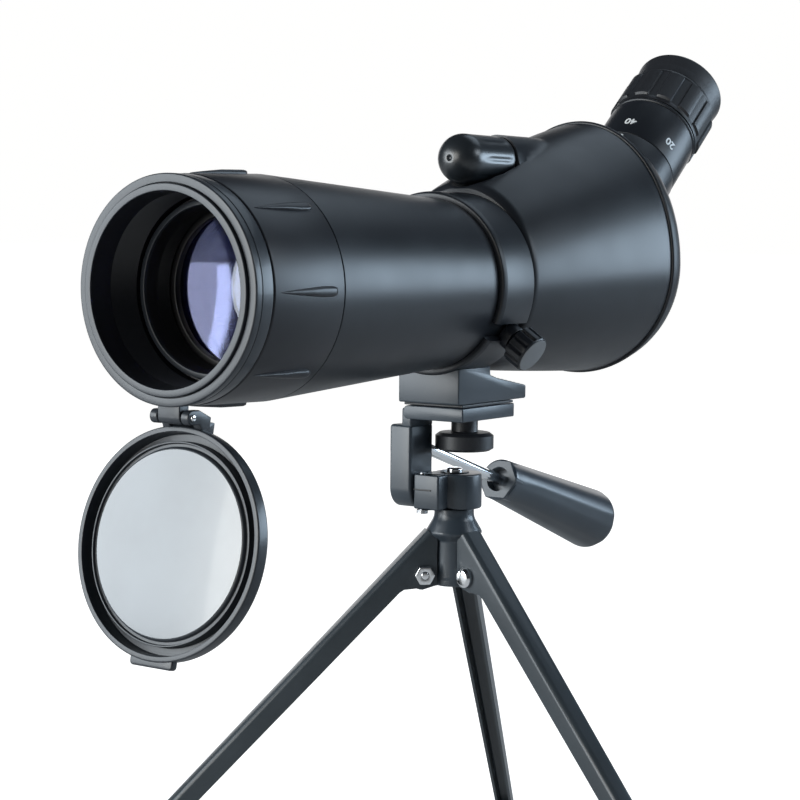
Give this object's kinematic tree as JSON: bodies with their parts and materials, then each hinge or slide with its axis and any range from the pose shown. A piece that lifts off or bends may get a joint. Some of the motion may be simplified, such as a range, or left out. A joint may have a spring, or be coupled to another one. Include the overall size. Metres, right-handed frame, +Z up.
{
  "type": "spotting scope",
  "caption": "Angled spotting scope with a zoom eyepiece, focus knob, flip-down lens cap and mounting collar, on a folding table tripod with a tilt and pan head.",
  "frame": {"origin": "on the floor, under the middle of the whole object's box", "axes": "+Z up; the scope points along -Y; +X is the side of the collar's lock knob"},
  "size_m": [0.2944, 0.371, 0.3676],
  "materials": {
    "shell_plastic": "satin black moulded plastic",
    "head_plastic": "satin blue-black moulded plastic",
    "trim_plastic": "glossy dark grey plastic",
    "rubber": "matte black rubber",
    "coated_glass": "clear glass with a violet coating",
    "blackened_metal": "matte black anodised",
    "steel": "satin",
    "chrome": "polished",
    "brass": "turned",
    "leg_paint": "semi-gloss black paint"
  },
  "bodies": {
    "tripod": {"tripod_hub": "head_plastic", "pan_screw": "chrome", "leg_bolt_1": "chrome", "leg_bolt_2": "chrome", "leg_bolt_3": "chrome", "leg_nut_1": "chrome", "leg_nut_2": "chrome", "leg_nut_3": "chrome"},
    "front_left_leg": {"leg_1": "leg_paint", "leg_tip_1": "rubber"},
    "front_right_leg": {"leg_2": "leg_paint", "leg_tip_2": "rubber"},
    "rear_leg": {"leg_3": "leg_paint", "leg_tip_3": "rubber"},
    "pan_head": {"head_base": "head_plastic", "clamp_screw": "steel"},
    "bracket": {"tilt_bracket": "head_plastic", "tilt_pin": "steel", "bracket_pad": "rubber", "mounting_collar": "shell_plastic", "foot_bush": "brass"},
    "thumbwheel": {"camera_screw": "steel", "camera_thumbwheel": "head_plastic"},
    "handle": {"handle_rod": "chrome", "handle_grip": "head_plastic"},
    "collar_lock": {"collar_lock_knob": "shell_plastic", "collar_lock_screw": "steel"},
    "scope": {"lens_hood": "shell_plastic", "cap_ring": "trim_plastic", "cap_hinge_pin": "steel", "objective_cell": "blackened_metal", "crown_lens": "coated_glass", "flint_lens": "coated_glass", "retaining_ring": "blackened_metal", "main_barrel": "shell_plastic", "barrel_baffle": "blackened_metal", "prism_housing": "shell_plastic", "housing_gasket": "rubber", "rear_cover": "shell_plastic", "prism_chassis": "blackened_metal", "guide_rod_left": "steel", "guide_rod_right": "steel", "eyepiece_tube": "blackened_metal", "field_lens": "coated_glass", "eye_lens": "coated_glass", "eyecup": "rubber"},
    "cap": {"lens_cap": "trim_plastic"},
    "focus": {"focus_knob": "shell_plastic", "focus_shaft": "brass"},
    "carriage": {"prism_carriage": "blackened_metal", "roof_prism": "coated_glass"},
    "zoom_ring": {"zoom_sleeve": "shell_plastic", "zoom_grip": "rubber"},
    "zoom_group": {"zoom_lens_cell": "blackened_metal", "zoom_lens": "coated_glass"}
  },
  "joints": [
    {"name": "front_left_leg_fold", "type": "hinge", "parent": "tripod", "child": "front_left_leg", "pos_m": [-0.02999, -0.01896, 0.1551], "axis": [0.7071, -0.7071, 0], "range_deg": [0, 44]},
    {"name": "front_right_leg_fold", "type": "hinge", "parent": "tripod", "child": "front_right_leg", "pos_m": [-0.00891, -0.01331, 0.1551], "axis": [0.2588, 0.9659, 0], "range_deg": [0, 44]},
    {"name": "rear_leg_fold", "type": "hinge", "parent": "tripod", "child": "rear_leg", "pos_m": [-0.0261, 0.00151, 0.1551], "axis": [-0.9171, -0.3987, 0], "range_deg": [0, 44]},
    {"name": "pan", "type": "hinge", "parent": "tripod", "child": "pan_head", "pos_m": [-0.02108, -0.01005, 0.1876], "axis": [0, 0, 1], "continuous": true},
    {"name": "tilt", "type": "hinge", "parent": "pan_head", "child": "bracket", "pos_m": [-0.02108, -0.0176, 0.1883], "axis": [1, 0, 0], "range_deg": [-25, 30]},
    {"name": "thumbwheel_turn", "type": "hinge", "parent": "bracket", "child": "thumbwheel", "pos_m": [-0.02108, -0.0034, 0.2014], "axis": [0, 0, 1], "continuous": true},
    {"name": "handle_turn", "type": "hinge", "parent": "bracket", "child": "handle", "pos_m": [-0.03578, 0.0452, 0.1851], "axis": [0, 0.9505, -0.3107], "range_deg": [-180, 180]},
    {"name": "collar_lock_turn", "type": "hinge", "parent": "bracket", "child": "collar_lock", "pos_m": [-0.02108, -0.0167, 0.2676], "axis": [0.829, 0, -0.5592], "range_deg": [0, 360]},
    {"name": "scope_roll", "type": "hinge", "parent": "bracket", "child": "scope", "pos_m": [-0.02108, -0.0202, 0.2676], "axis": [0, 1, 0], "range_deg": [-90, 90]},
    {"name": "cap_flip", "type": "hinge", "parent": "scope", "child": "cap", "pos_m": [-0.02108, -0.17419, 0.22728], "axis": [1, 0, 0], "range_deg": [-168.7, 15]},
    {"name": "focus_turn", "type": "hinge", "parent": "scope", "child": "focus", "pos_m": [-0.02108, 0, 0.3152], "axis": [0, 1, 0], "range_deg": [-540, 540]},
    {"name": "prism_travel", "type": "slide", "parent": "scope", "child": "carriage", "axis": [0, 1, 0], "range_m": [-0.0052, 0.0052]},
    {"name": "zoom_turn", "type": "hinge", "parent": "scope", "child": "zoom_ring", "pos_m": [-0.02108, 0.1274, 0.3155], "axis": [0, 0.7771, 0.6293], "range_deg": [-60, 60]},
    {"name": "zoom_travel", "type": "slide", "parent": "scope", "child": "zoom_group", "axis": [0, 0.7771, 0.6293], "range_m": [-0.0061, 0.0061]}
  ],
  "couplings": [
    {"joint": "prism_travel", "follows": "focus_turn", "m_per_rad": 0.00047746},
    {"joint": "zoom_travel", "follows": "zoom_turn", "m_per_rad": 0.0057296}
  ]
}
